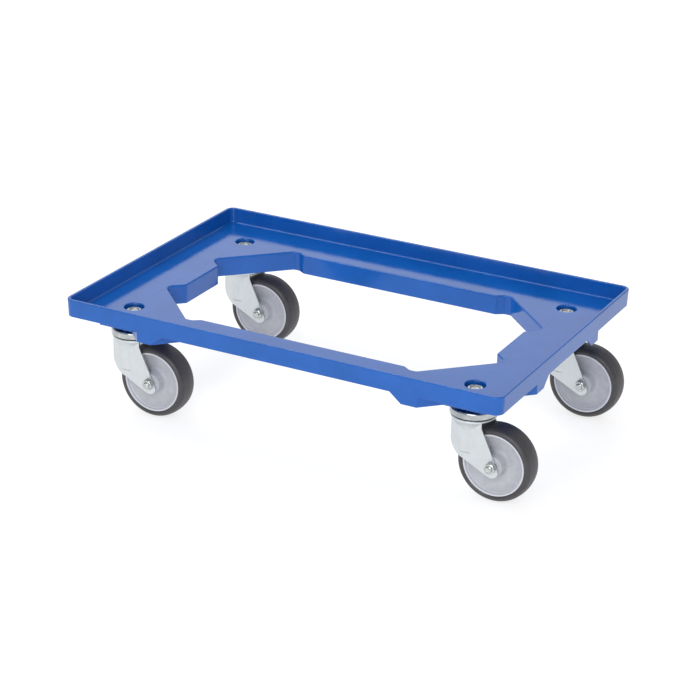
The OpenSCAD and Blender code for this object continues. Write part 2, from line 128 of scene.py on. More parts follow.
class CastorSettings(bpy.types.PropertyGroup):
    """Sizes and colours of the castors' sheet metal and bearings."""

    zinc: tint(
        "Zinc", "Colour of the plated sheet",
        default=(0.65, 0.685, 0.70))
    sheet_round: metres(
        "Sheet edge rounding", "Rounding of the pressed sheet's edges",
        min=0.0001, max=0.0008, default=0.00045)
    turn_steps: IntProperty(
        name="Steps round", description="Faces round a turned piece",
        min=24, max=256, default=128)
    upper_ball: metres(
        "Upper ball", "Diameter of a ball in the upper row",
        min=0.003, max=0.008, default=0.006)
    upper_pitch: metres(
        "Upper row radius", "Radius that the upper row of balls runs on",
        min=0.010, max=0.026, default=0.020)
    lower_ball: metres(
        "Lower ball", "Diameter of a ball in the lower row",
        min=0.003, max=0.008, default=0.005)
    lower_pitch: metres(
        "Lower row radius", "Radius that the lower row of balls runs on",
        min=0.010, max=0.020, default=0.014)


class WheelSettings(bpy.types.PropertyGroup):
    """Sizes and colours of the wheels."""

    diameter: metres(
        "Diameter", "Diameter over the tread",
        min=0.05, max=0.2, default=TYRE_SIZE.z)
    width: metres(
        "Width", "Width of the tyre",
        min=0.02, max=0.06, default=TYRE_SIZE.y)
    tyre_depth: metres(
        "Tyre depth", "Thickness of the tyre over the rim",
        min=0.004, max=0.015, default=0.009)
    shoulder: metres(
        "Shoulder", "Width of the rounded shoulder at each side of the tread",
        min=0.002, max=0.012, default=0.008)
    tread_crown: metres(
        "Crown", "Rise of the tread from its shoulders to its middle",
        min=0, max=0.003, default=0.0008)
    hub_radius: metres(
        "Hub radius", "Radius of the hub at its end",
        min=0.008, max=0.020, default=0.013)
    hub_width: metres(
        "Hub width", "Width of the hub along the axle",
        min=0.02, max=0.06, default=CENTRE_SIZE.y)
    lip: metres(
        "Rim lip", "Width of the flat ring beside the tyre",
        min=0.001, max=0.008, default=0.0025)
    recess: metres(
        "Dish depth", "Depth of the disc below the ring",
        min=0.002, max=0.013, default=0.0095)
    grey: tint(
        "Centre grey", "Colour of the wheel centre's plastic",
        default=(0.47, 0.48, 0.525))
    tread_grey: tint(
        "Tyre grey", "Colour of the tyre",
        default=(0.050, 0.047, 0.053))


class FastenerSettings(bpy.types.PropertyGroup):
    """Sizes of the bolts, nuts and washers."""

    fixing_radius: metres(
        "Fixing shank", "Shank radius of the bolt that fixes a castor",
        min=0.003, max=0.007, default=0.006)
    fixing_flats: metres(
        "Fixing flats", "Width across flats of the fixing bolt's head and nut",
        min=0.010, max=0.022, default=0.019)
    axle_radius: metres(
        "Axle shank", "Shank radius of the axle bolt",
        min=0.003, max=0.006, default=0.004)
    axle_flats: metres(
        "Axle flats", "Width across flats of the axle bolt's head and nut",
        min=0.010, max=0.020, default=NUT_SIZE.z)
    thread_pitch: metres(
        "Thread pitch", "Distance between two turns of a bolt's thread",
        min=0.0005, max=0.002, default=0.00125)
    thread_depth: metres(
        "Thread depth", "Depth of a bolt's thread",
        min=0.0002, max=0.001, default=0.0006)


class StageSettings(bpy.types.PropertyGroup):
    """Camera, floor and lights."""

    azimuth: FloatProperty(
        name="Azimuth", description="Direction of the camera round the dolly",
        subtype="ANGLE", default=math.radians(27.39))
    elevation: FloatProperty(
        name="Elevation", description="Height of the camera as an angle above the floor",
        subtype="ANGLE", default=math.radians(23.10))
    roll: FloatProperty(
        name="Roll", description="Turn of the camera about its own axis",
        subtype="ANGLE", default=math.radians(1.30))
    distance: metres(
        "Distance", "Distance from the camera to the middle of the rim",
        default=2.8787)
    lens: FloatProperty(
        name="Lens", description="Focal length on a 36 mm sensor, in millimetres",
        default=112.96)
    sky: FloatProperty(
        name="Sky strength", description="Strength of the white surroundings",
        min=0, max=5, default=0.55)
    key: FloatProperty(
        name="Front power", description="Power of the soft box in front of the dolly",
        unit="POWER", min=0, max=500, default=45)
    over: FloatProperty(
        name="Overhead power", description="Power of the soft box over the dolly",
        unit="POWER", min=0, max=500, default=26)
    behind: FloatProperty(
        name="Backdrop power", description="Power of the wide soft box behind the dolly",
        unit="POWER", min=0, max=500, default=22)
    floor_tone: tint(
        "Floor", "Colour of the floor",
        default=(0.42, 0.42, 0.42))
    floor_glow: FloatProperty(
        name="Floor glow", description="Light that the floor gives off, which softens its shadows",
        min=0, max=1, default=0.72)


SETTINGS = {
    "dolly_deck": DeckSettings,
    "dolly_castors": CastorSettings,
    "dolly_wheels": WheelSettings,
    "dolly_fasteners": FastenerSettings,
    "dolly_stage": StageSettings,
}


# ---------------------------------------------------------------- nodes


class Wire:
    """An output socket. Arithmetic on it adds Math nodes to its tree."""

    def __init__(self, tree, socket):
        self.tree = tree
        self.socket = socket

    def math(self, operation, first, second):
        return self.tree.node("ShaderNodeMath", {"operation": operation}, {0: first, 1: second})

    def __add__(self, other):
        return self.math("ADD", self, other)

    def __radd__(self, other):
        return self.math("ADD", other, self)

    def __mul__(self, other):
        return self.math("MULTIPLY", self, other)

    def __rmul__(self, other):
        return self.math("MULTIPLY", other, self)


class Tree:
    """Adds nodes to a shader tree or a Geometry Nodes tree."""

    def __init__(self, tree):
        self.tree = tree

    def node(self, kind, settings=None, sockets=None, out=0):
        """Adds a node, sets it up, fills its sockets, and returns one of its outputs."""
        made = self.tree.nodes.new(kind)
        for name, value in (settings or {}).items():
            if name == "stops":
                set_stops(made.color_ramp, value)
            else:
                setattr(made, name, value)
        for name, value in (sockets or {}).items():
            if isinstance(value, Wire):
                self.tree.links.new(value.socket, made.inputs[name])
            else:
                made.inputs[name].default_value = value
        return Wire(self, made.outputs[out]) if made.outputs else made


def set_stops(ramp, stops):
    """Gives a colour ramp its stops, as (place, grey) pairs."""
    while len(ramp.elements) < len(stops):
        ramp.elements.new(0.5)
    for element, (place, grey) in zip(ramp.elements, stops):
        element.position = place
        element.color = (grey, grey, grey, 1)


class Finish(Tree):
    """A procedural material for one of the record's slots."""
    # """A procedural material."""

    def __init__(self, name):
        self.material = bpy.data.materials.new(name)
        self.material.use_nodes = True
        self.material.node_tree.nodes.clear()
        super().__init__(self.material.node_tree)
        self.place = self.node("ShaderNodeTexCoord", out="Object")

    def noise(self, scale, detail=2.0, roughness=0.5, at=None):
        """Noise from 0 to 1, with scale in cells a metre."""
        return self.node("ShaderNodeTexNoise", None, {
            "Vector": at or self.place, "Scale": scale,
            "Detail": detail, "Roughness": roughness})

    def stretched(self, scale):
        """The coordinates, stretched by a factor along each axis."""
        return self.node("ShaderNodeMapping", None, {"Vector": self.place, "Scale": scale})

    def ramp(self, value, *stops):
        """A value taken through a ramp of (place, grey) stops."""
        return self.node("ShaderNodeValToRGB", {"stops": stops}, {0: value})

    def mix(self, factor, first, second):
        """A colour between two colours."""
        colours = [c if isinstance(c, Wire) else (*c, 1) for c in (first, second)]
        return self.node("ShaderNodeMix", {"data_type": "RGBA"},
                         {0: factor, 6: colours[0], 7: colours[1]}, out=2)

    def bump(self, height, distance, strength=1.0, normal=None):
        """A normal from a height, with distance in metres."""
        sockets = {"Height": height, "Distance": distance, "Strength": strength}
        if normal:
            sockets["Normal"] = normal
        return self.node("ShaderNodeBump", None, sockets)

    def surface(self, **sockets):
        """Ends the material in a Principled shader, and returns the material."""
        names = {name: name.replace("_", " ").title() for name in sockets}
        names["ior"] = "IOR"
        shader = self.node("ShaderNodeBsdfPrincipled", None,
                           {names[name]: value for name, value in sockets.items()})
        self.node("ShaderNodeOutputMaterial", None, {"Surface": shader})
        return self.material


class Shape(Tree):
    """A Geometry Nodes tree with named inputs, which ends in Realize Instances and Set Material."""

    SOCKETS = {"float": "NodeSocketFloat", "int": "NodeSocketInt",
               "vector": "NodeSocketVector", "rotation": "NodeSocketRotation",
               "material": "NodeSocketMaterial"}

    def __init__(self, name, **inputs):
        super().__init__(bpy.data.node_groups.new(name, "GeometryNodeTree"))
        ports = self.tree.interface
        ports.new_socket(name="Geometry", in_out="INPUT", socket_type="NodeSocketGeometry")
        ports.new_socket(name="Geometry", in_out="OUTPUT", socket_type="NodeSocketGeometry")
        inputs["Finish"] = "material"
        self.identifiers = {
            label: ports.new_socket(name=label, in_out="INPUT",
                                    socket_type=self.SOCKETS[kind]).identifier
            for label, kind in inputs.items()}
        self.entry = self.tree.nodes.new("NodeGroupInput")

    def given(self, label):
        """The tree's own input of that name."""
        return Wire(self, self.entry.outputs[label])

    def end(self, geometry):
        """Realizes the instances, sets the finish and closes the tree."""
        real = self.node("GeometryNodeRealizeInstances", None, {0: geometry})
        dressed = self.node("GeometryNodeSetMaterial", None,
                            {"Geometry": real, "Material": self.given("Finish")})
        self.node("NodeGroupOutput", None, {0: dressed})
        return self

    def make(self, name, host_mesh, **values):
        """Runs the tree on a mesh, and returns the result as a plain mesh object."""
        host = new_object(name, host_mesh)
        modifier = host.modifiers.new("shape", "NODES")
        modifier.node_group = self.tree
        for label, value in values.items():
            modifier[self.identifiers[label]] = value
        return baked(host)


# ---------------------------------------------------------------- meshes


def new_object(name, mesh):
    piece = bpy.data.objects.new(name, mesh)
    bpy.context.scene.collection.objects.link(piece)
    return piece


def baked(piece):
    """Puts a piece's modifiers into its mesh and removes them."""
    graph = bpy.context.evaluated_depsgraph_get()
    mesh = bpy.data.meshes.new_from_object(
        piece.evaluated_get(graph), preserve_all_data_layers=True, depsgraph=graph)
    piece.modifiers.clear()
    piece.data = mesh
    mesh.name = piece.name
    if not mesh.polygons:
        raise RuntimeError(f"{piece.name} came out empty")
    return piece


def mounted(piece, body, slot, *nodes):
    """Fixes a finished piece to its body and hides its CAD nodes. The slot is not used."""
    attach(piece, body)
    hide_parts(*nodes)


def check_size(piece, node, tolerance=0.0006):
    """Raises an error where a piece's box isn't its CAD node's box."""
    points = [vertex.co for vertex in piece.data.vertices]
    low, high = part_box(node)
    for axis in range(3):
        values = [point[axis] for point in points]
        if abs(min(values) - low[axis]) > tolerance or abs(max(values) - high[axis]) > tolerance:
            raise RuntimeError(f"{piece.name} is {min(values)} to {max(values)} along axis {axis}, "
                               f"and {node} is {low[axis]} to {high[axis]}")


def refinished(node, material):
    """Gives a CAD node that stays in view its material."""
    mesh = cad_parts[node].data
    for index in range(len(mesh.materials)):
        mesh.materials[index] = material


def split_sharp(piece, angle=28):
    """Keeps a turned or skinned piece's corners crisp and its flats flat."""
    edges = bmesh.new()
    edges.from_mesh(piece.data)
    bmesh.ops.recalc_face_normals(edges, faces=edges.faces)
    for edge in edges.edges:
        edge.smooth = not edge.is_manifold or edge.calc_face_angle(0) < math.radians(angle)
    edges.to_mesh(piece.data)
    edges.free()
    weighted = piece.modifiers.new("flats", "WEIGHTED_NORMAL")
    weighted.keep_sharp = True
    return baked(piece)


MERGE_DISTANCE = 1e-6               # points nearer to each other than this are one point
CUT_SNAP = 2e-5                     # a cut goes through the points nearer to it than this
FLAT_ANGLE = math.radians(0.5)      # faces that meet flatter than this become one face
ROUNDED_ANGLE = math.radians(30)    # edges that turn more than this are rounded


def rounded_copy(node, name, material, width, cuts, widths=None, segments=2):
    """A copy of a CAD node, with its sharp edges rounded.

    cuts are planes, each a point and a normal, that divide the faces with holes in them.
    widths, if given, is a function from an edge to the rounding that it gets.
    """
    copy = bmesh.new()
    copy.from_mesh(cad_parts[node].data)
    bmesh.ops.remove_doubles(copy, verts=copy.verts, dist=MERGE_DISTANCE)
    for point, normal in cuts:
        parts = copy.verts[:] + copy.edges[:] + copy.faces[:]
        cut = bmesh.ops.bisect_plane(copy, geom=parts, dist=CUT_SNAP, plane_co=point,
                                     plane_no=normal)["geom_cut"]
        for edge in cut:
            if isinstance(edge, bmesh.types.BMEdge):
                edge.seam = True
    bmesh.ops.dissolve_limit(copy, angle_limit=FLAT_ANGLE, verts=copy.verts,
                             edges=copy.edges, use_dissolve_boundaries=False, delimit={"SEAM"})
    weight = copy.edges.layers.float.new("bevel_weight_edge")
    widest = width
    for edge in copy.edges:
        if edge.is_manifold and edge.calc_face_angle(0) > ROUNDED_ANGLE:
            edge[weight] = widths(edge) if widths else width
            widest = max(widest, edge[weight])
    for edge in copy.edges:
        edge[weight] /= widest
    mesh = bpy.data.meshes.new(name)
    copy.to_mesh(mesh)
    copy.free()
    mesh.materials.clear()
    mesh.materials.append(material)
    mesh.shade_smooth()
    piece = new_object(name, mesh)
    bevel = piece.modifiers.new("rounding", "BEVEL")
    bevel.limit_method = "WEIGHT"
    bevel.width = widest
    bevel.segments = segments
    bevel.use_clamp_overlap = False
    flats = piece.modifiers.new("flats", "WEIGHTED_NORMAL")
    flats.weight = 100
    return baked(piece)


def loop_mesh(name, points, guide):
    """A closed loop of edges: the section of a turned piece, (radius, place along the axis).

    Curve to Mesh on a circle points a profile's Y down, so the axis runs along -Y.
    """
    count = len(points)
    mesh = bpy.data.meshes.new(name)
    mesh.from_pydata([(radius - guide, -along, 0) for radius, along in points],
                     [(i, (i + 1) % count) for i in range(count)], [])
    return mesh


STRAIGHT = math.radians(4)          # a corner that turns less than this is left alone
SIDE_SHARE = 0.49                   # most of a side that one corner's rounding takes
ARC_STEP = math.radians(18)         # longest step of a rounding


def rounded_loop(corners):
    """Points of a closed section whose corners, (x, y, radius), are rounded."""
    points = []
    for i, (x, y, radius) in enumerate(corners):
        here = Vector((x, y))
        before = Vector(corners[i - 1][:2]) - here
        after = Vector(corners[(i + 1) % len(corners)][:2]) - here
        angle = before.angle(after)
        if radius == 0 or math.pi - angle < STRAIGHT:
            points.append(tuple(here))
            continue
        reach = min(radius / math.tan(angle / 2),
                    SIDE_SHARE * before.length, SIDE_SHARE * after.length)
        radius = reach * math.tan(angle / 2)
        bisector = (before.normalized() + after.normalized()).normalized()
        centre = here + bisector * radius / math.sin(angle / 2)
        start = here + before.normalized() * reach - centre
        end = here + after.normalized() * reach - centre
        turn = start.angle_signed(end)
        steps = max(2, math.ceil(abs(turn) / ARC_STEP))
        for k in range(steps + 1):
            swing = Matrix.Rotation(-turn * k / steps, 2)
            points.append(tuple(centre + swing @ start))
    return points


def mirrored_section(half):
    """A section from its upper half, (radius, height, rounding), mirrored in its middle plane."""
    return half + [(radius, -along, rounding) for radius, along, rounding in reversed(half)
                   if along > 1e-6]


def ring(radius, height, steps):
    """One ring of points. Radius and height are numbers, or functions of the angle."""
    points = []
    for k in range(steps):
        angle = FULL_TURN * k / steps
        r = radius(angle) if callable(radius) else radius
        z = height(angle) if callable(height) else height
        points.append((r * math.cos(angle), r * math.sin(angle), z))
    return points


def skin(name, rings, closed):
    """A mesh skinned over rings of points, joined end to end or capped at both ends."""
    steps = len(rings[0])
    count = len(rings)
    points = [point for one in rings for point in one]
    faces = []
    for i in range(count if closed else count - 1):
        low, high = i * steps, (i + 1) % count * steps
        for k in range(steps):
            after = (k + 1) % steps
            faces.append((low + k, low + after, high + after, high + k))
    if not closed:
        faces.append(tuple(reversed(range(steps))))
        faces.append(tuple(range((count - 1) * steps, count * steps)))
    mesh = bpy.data.meshes.new(name)
    mesh.from_pydata(points, [], faces)
    form = bmesh.new()
    form.from_mesh(mesh)
    bmesh.ops.recalc_face_normals(form, faces=form.faces)
    form.to_mesh(mesh)
    form.free()
    mesh.shade_smooth()
    return mesh


HEX_STEPS = 72          # a multiple of 6, so that every corner of a hexagon has a point
HEX_LAND = 0.96         # radius of a nut's flat face, as a share of half its flats
CHAMFER_SLOPE = math.tan(math.radians(31.6))


def hexagon(flats):
    """Radius of a hexagon as a function of the angle, with a corner at angle 0."""
    return lambda angle: flats / 2 / math.cos(angle % (math.pi / 3) - math.pi / 6)


def hex_chamfer(flats, face_z, side):
    """Height at which a hexagon meets its chamfer, below (side -1) or above (side 1) a face."""
    outline = hexagon(flats)
    return lambda angle: face_z + side * (outline(angle) - flats / 2 * HEX_LAND) * CHAMFER_SLOPE


def nut_mesh(name, flats, height, bore):
    """A hexagon nut that stands on z = 0, with chamfered corners and bore."""
    relief = 0.0006
    land = flats / 2 * HEX_LAND
    outline = hexagon(flats)
    rings = [(bore, relief), (bore + relief, 0), (land, 0),
             (outline, hex_chamfer(flats, 0, 1)), (outline, hex_chamfer(flats, height, -1)),
             (land, height), (bore + relief, height), (bore, height - relief)]
    return skin(name, [ring(radius, z, HEX_STEPS) for radius, z in rings], closed=True)


def bolt_mesh(name, flats, head, radius, length, thread, pitch, depth):
    """A hexagon bolt: its head under z = 0, its shank up to length, its last part threaded."""
    fillet = 0.0005
    end_chamfer = 0.0008
    rings_a_turn = 8
    land = flats / 2 * HEX_LAND
    outline = hexagon(flats)
    rings = [(land * 0.82, -head), (land, -head),
             (outline, hex_chamfer(flats, -head, 1)), (outline, -0.0004),
             (flats / 2 * 0.97, 0), (radius + fillet, 0), (radius, fillet),
             (radius, length - thread)]
    made = [ring(r, z, HEX_STEPS) for r, z in rings]
    levels = math.ceil(thread / pitch * rings_a_turn)
    for level in range(levels + 1):
        z = length - thread + thread * level / levels
        taper = max(0, z - (length - end_chamfer))
        start = min(1, level / rings_a_turn)

        def threaded(angle, z=z, taper=taper, start=start):
            phase = (z / pitch - angle / FULL_TURN) % 1
            groove = max(0.0, min(1.0, 2.4 * abs(2 * phase - 1) - 0.9))
            return min(radius - depth * groove * start, radius - taper)
        made.append(ring(threaded, z, HEX_STEPS))
    made.append(ring((radius - depth) * 0.55, length, HEX_STEPS))
    return skin(name, made, closed=False)


# ---------------------------------------------------------------- finishes


def shade(colour, factor, lift=0.0):
    """A colour made darker or lighter."""
    return tuple(min(1, factor * c + lift) for c in colour)


def deck_finish(settings):
    """Gloss moulded plastic: faint sink marks and a fine skin, with uneven gloss."""
    finish = Finish("gloss_blue_plastic")
    broad = finish.noise(14, detail=3)
    cloud = finish.noise(70, detail=4, roughness=0.6)
    skin_grain = finish.noise(1500, detail=2)
    darker = shade(settings.blue, 0.86)
    lighter = shade(settings.blue, 1.10, 0.004)
    sink = finish.bump(broad, 0.0016, 0.20)
    return finish.surface(
        base_color=finish.mix(finish.ramp(broad * 0.7 + cloud * 0.3, (0.30, 0), (0.70, 1)),
                              darker, lighter),
        roughness=settings.gloss - 0.04 + 0.08 * cloud,
        ior=1.46,
        normal=finish.bump(skin_grain, 0.00006, 0.35, sink))


def sheet_finish(settings):
    """Zinc-plated pressed sheet: soft vertical drawing marks and a cloudy bloom."""
    finish = Finish("plated_sheet")
    drawn = finish.noise(1, detail=3, at=finish.stretched((420, 420, 34)))
    bloom = finish.noise(60, detail=4, roughness=0.65)
    grain = finish.noise(2600, detail=2)
    dull = shade(settings.zinc, 0.90)
    return finish.surface(
        base_color=finish.mix(finish.ramp(0.55 * bloom + 0.45 * drawn, (0.36, 0), (0.66, 1)),
                              dull, tuple(settings.zinc)),
        metallic=1.0,
        roughness=0.30 + 0.14 * bloom + 0.06 * drawn,
        normal=finish.bump(0.4 * drawn + 0.6 * grain, 0.00004, 0.4))


def cap_finish():
    """Bright-plated cap: smooth enough to mirror the deck, the floor and the soft boxes."""
    finish = Finish("bright_cap")
    bloom = finish.noise(90, detail=4, roughness=0.6)
    grain = finish.noise(1800, detail=2)
    return finish.surface(
        base_color=finish.mix(finish.ramp(bloom, (0.35, 0), (0.65, 1)),
                              (0.34, 0.36, 0.37), (0.50, 0.52, 0.52)),
        metallic=1.0,
        roughness=0.08 + 0.12 * bloom,
        normal=finish.bump(grain, 0.00003, 0.3))


def fastener_finish():
    """Bright zinc on nuts, bolts and washers, a little blotched."""
    finish = Finish("bright_fastener")
    blotch = finish.noise(320, detail=3)
    grain = finish.noise(5200, detail=2)
    return finish.surface(
        base_color=finish.mix(finish.ramp(blotch, (0.35, 0), (0.65, 1)),
                              (0.42, 0.44, 0.44), (0.62, 0.63, 0.62)),
        metallic=1.0,
        roughness=0.20 + 0.14 * blotch,
        normal=finish.bump(grain, 0.00002, 0.4))


def ball_finish():
    """Hardened, polished bearing steel with a film of grease."""
    finish = Finish("polished_steel")
    film = finish.noise(260, detail=3)
    return finish.surface(
        base_color=finish.mix(film, (0.42, 0.42, 0.43), (0.62, 0.62, 0.63)),
        metallic=1.0,
        roughness=0.07 + 0.16 * film)


def from_axle(finish):
    """Distance from the axle, in metres, in a turned piece's own space."""
    own = finish.node("ShaderNodeAttribute", {"attribute_name": "turning"}, out="Vector")
    flat = finish.node("ShaderNodeVectorMath", {"operation": "MULTIPLY"},
                       {0: own, 1: (1, 1, 0)})
    return finish.node("ShaderNodeVectorMath", {"operation": "LENGTH"}, {0: flat}, out="Value")


def wheel_finish(settings):
    """Moulded grey polypropylene with turned tool marks in its disc, and a painted highlight that
    makes the rim lip lighter than the disc.
    """
    finish = Finish("grey_polypropylene")
    radius = from_axle(finish)
    cloud = finish.noise(90, detail=4, roughness=0.6)
    grain = finish.noise(2400, detail=2)
    tool_marks = finish.node("ShaderNodeMath", {"operation": "SINE"}, {0: radius * 9000})
    darker = shade(settings.grey, 0.86)
    # lighter is the colour of a painted highlight on the rim lip, the same plastic as the disc; the
    # mask below ramps it in towards the lip
    lighter = shade(settings.grey, 1.22)
    rim = settings.diameter / 2 - settings.tyre_depth
    web_end, lip_highlight_start = rim - 0.005, rim - 0.0035
    lip = finish.node("ShaderNodeMapRange", None,
                      {"Value": radius, "From Min": web_end, "From Max": lip_highlight_start})
    web = finish.mix(finish.ramp(cloud, (0.32, 0), (0.68, 1)), darker, tuple(settings.grey))
    return finish.surface(
        base_color=finish.mix(lip, web, lighter),
        roughness=0.36 + 0.12 * cloud,
        normal=finish.bump(grain + 0.12 * tool_marks, 0.00004, 0.5))


def tyre_finish(settings):
    """Non-marking rubber: a fine matt skin with a trace of dust on the tread."""
    finish = Finish("grey_rubber")
    radius = from_axle(finish)
    cloud = finish.noise(120, detail=4, roughness=0.6)
    grain = finish.noise(2200, detail=3)
    edge = settings.diameter / 2
    tread = finish.node("ShaderNodeMapRange", None,
                        {"Value": radius, "From Min": edge - 0.003, "From Max": edge})
    darker = shade(settings.tread_grey, 0.80)
    dusty = shade(settings.tread_grey, 1.25, 0.012)
    skin_colour = finish.mix(finish.ramp(cloud, (0.3, 0), (0.7, 1)),
                             darker, tuple(settings.tread_grey))
    return finish.surface(
        base_color=finish.mix(0.35 * cloud * tread, skin_colour, dusty),
        roughness=0.34 + 0.12 * cloud + 0.10 * tread,
        ior=1.5,
        normal=finish.bump(grain, 0.00007, 0.5))


# ---------------------------------------------------------------- shapes by rule


def turned_shape():
    """Turns a closed section round an axis, then puts the ring in its place."""
    shape = Shape("turned_piece", **{"Guide Radius": "float", "Steps": "int",
                                     "Turn": "rotation", "Place": "vector"})
    section = shape.node("GeometryNodeMeshToCurve", None, {"Mesh": shape.given("Geometry")})
    circle = shape.node("GeometryNodeCurvePrimitiveCircle", None, {
        "Resolution": shape.given("Steps"), "Radius": shape.given("Guide Radius")})
    ring_mesh = shape.node("GeometryNodeCurveToMesh", None,
                           {"Curve": circle, "Profile Curve": section})
    smooth = shape.node("GeometryNodeSetShadeSmooth", None, {"Geometry": ring_mesh})
    own = shape.node("GeometryNodeInputPosition")
    marked = shape.node("GeometryNodeStoreNamedAttribute", {"data_type": "FLOAT_VECTOR"},
                        {"Geometry": smooth, "Name": "turning", "Value": own})
    placed = shape.node("GeometryNodeTransform", None, {
        "Geometry": marked, "Rotation": shape.given("Turn"), "Translation": shape.given("Place")})
    return shape.end(placed)


def ball_shape():
    """Two rows of balls, one above the other, round a castor's axis."""
    shape = Shape("ball_rows", **{"Place": "vector", "Upper Ball": "float", "Upper Radius": "float",
                                  "Upper Height": "float", "Upper Count": "int",
                                  "Lower Ball": "float", "Lower Radius": "float",
                                  "Lower Height": "float", "Lower Count": "int"})
    rows = []
    for row in ("Upper", "Lower"):
        ball = shape.node("GeometryNodeMeshIcoSphere", None, {
            "Radius": shape.given(f"{row} Ball") * 0.5, "Subdivisions": 3})
        places = shape.node("GeometryNodeMeshCircle", None, {
            "Vertices": shape.given(f"{row} Count"), "Radius": shape.given(f"{row} Radius")})
        row_balls = shape.node("GeometryNodeInstanceOnPoints", None,
                               {"Points": places, "Instance": ball})
        height = shape.node("ShaderNodeCombineXYZ", None, {"Z": shape.given(f"{row} Height")})
        rows.append(shape.node("GeometryNodeTransform", None,
                               {"Geometry": row_balls, "Translation": height}))
    joined = shape.tree.nodes.new("GeometryNodeJoinGeometry")
    for row in rows:
        shape.tree.links.new(row.socket, joined.inputs[0])
    placed = shape.node("GeometryNodeTransform", None, {
        "Geometry": Wire(shape, joined.outputs[0]), "Translation": shape.given("Place")})
    smooth = shape.node("GeometryNodeSetShadeSmooth", None, {"Geometry": placed})
    return shape.end(smooth)


def corner_set_shape():
    """Repeats a piece at the four castors."""
    shape = Shape("corner_set", **{"Spacing X": "float", "Spacing Y": "float", "Height": "float"})
    grid = shape.node("GeometryNodeMeshGrid", None, {
        "Size X": shape.given("Spacing X"), "Size Y": shape.given("Spacing Y"),
        "Vertices X": 2, "Vertices Y": 2})
    height = shape.node("ShaderNodeCombineXYZ", None, {"Z": shape.given("Height")})
    raised = shape.node("GeometryNodeTransform", None, {"Geometry": grid, "Translation": height})
    return shape.end(shape.node("GeometryNodeInstanceOnPoints", None, {
        "Points": raised, "Instance": shape.given("Geometry")}))


# ---------------------------------------------------------------- pieces


class DOLLY_OT_deck(bpy.types.Operator):
    """Round the edges of the deck moulding"""

    bl_idname = "dolly.deck"
    bl_label = "Deck moulding"

    def execute(self, context):
        settings = context.scene.dolly_deck
        floor_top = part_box("deck")[0].z + 0.027     # the tray floor over the lowest point
        half_x = extent("deck").x / 2 - 0.060
        half_y = extent("deck").y / 2 - 0.052
        stem = middle("race_stem_front_left")
        castor = Vector((abs(stem.x), abs(stem.y)))
        counterbore = 0.025                         # keeps clear of the hole over a castor

        def width(edge):
            ends = [vertex.co for vertex in edge.verts]
            level = all(abs(end.z - floor_top) < 0.0002 for end in ends)
            inside = all(abs(end.x) < half_x and abs(end.y) < half_y for end in ends)
            far = all(math.hypot(abs(end.x) - castor.x, abs(end.y) - castor.y) > counterbore
                      for end in ends)
            return settings.opening_round if level and inside and far else settings.edge_round

        cuts = [((x, 0, 0), (1, 0, 0)) for x in (-castor.x, 0, castor.x)]
        cuts += [((0, y, 0), (0, 1, 0)) for y in (-castor.y, 0, castor.y)]
        piece = rounded_copy("deck", "deck_moulding", deck_finish(settings),
                             settings.edge_round, cuts, width, segments=3)
        check_size(piece, "deck")
        mounted(piece, "deck_frame", "deck_plastic", "deck")
        return {"FINISHED"}


class DOLLY_OT_fixings(bpy.types.Operator):
    """Make the nuts, washers and bolts that hold the castors to the deck"""

    bl_idname = "dolly.fixings"
    bl_label = "Castor fixings"

    def execute(self, context):
        settings = context.scene.dolly_fasteners
        material = fastener_finish()
        spread = middle("race_stem_rear_right") - middle("race_stem_front_left")
        nut_low, nut_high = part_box("fixing_nuts")
        washer_low, washer_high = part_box("fixing_washers")
        bolt_low, bolt_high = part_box("fixing_bolts")
        head = 0.0064
        bore = settings.fixing_radius
        washer_radius = (washer_high.x - washer_low.x - spread.x) / 2
        thickness = washer_high.z - washer_low.z
        soft = 0.0003                   # rounding of the washer's edges
        hole = bore + 0.0005
        washer_rings = [(hole, soft), (hole + soft, 0),
                        (washer_radius - soft, 0), (washer_radius, soft),
                        (washer_radius, thickness - soft), (washer_radius - soft, thickness),
                        (hole + soft, thickness), (hole, thickness - soft)]
        masters = {
            "bolt": (bolt_mesh("fixing_bolt", settings.fixing_flats, head, bore,
                               bolt_high.z - bolt_low.z - head, 0.016,
                               settings.thread_pitch * 1.2, settings.thread_depth),
                     bolt_low.z + head, "fixing_bolts"),
            "washer": (skin("fixing_washer", [ring(r, z, HEX_STEPS) for r, z in washer_rings],
                            closed=True),
                       washer_low.z, "fixing_washers"),
            "nut": (nut_mesh("fixing_nut", settings.fixing_flats, nut_high.z - nut_low.z, bore),
                    nut_low.z, "fixing_nuts"),
        }
        shape = corner_set_shape()
        for part, (mesh, height, node) in masters.items():
            piece = shape.make(f"castor_fixing_{part}s", mesh, **{
                "Spacing X": spread.x, "Spacing Y": spread.y, "Height": height,
                "Finish": material})
            split_sharp(piece)
            check_size(piece, node)
            mounted(piece, "deck_frame", "zinc_fastener", node)
        return {"FINISHED"}


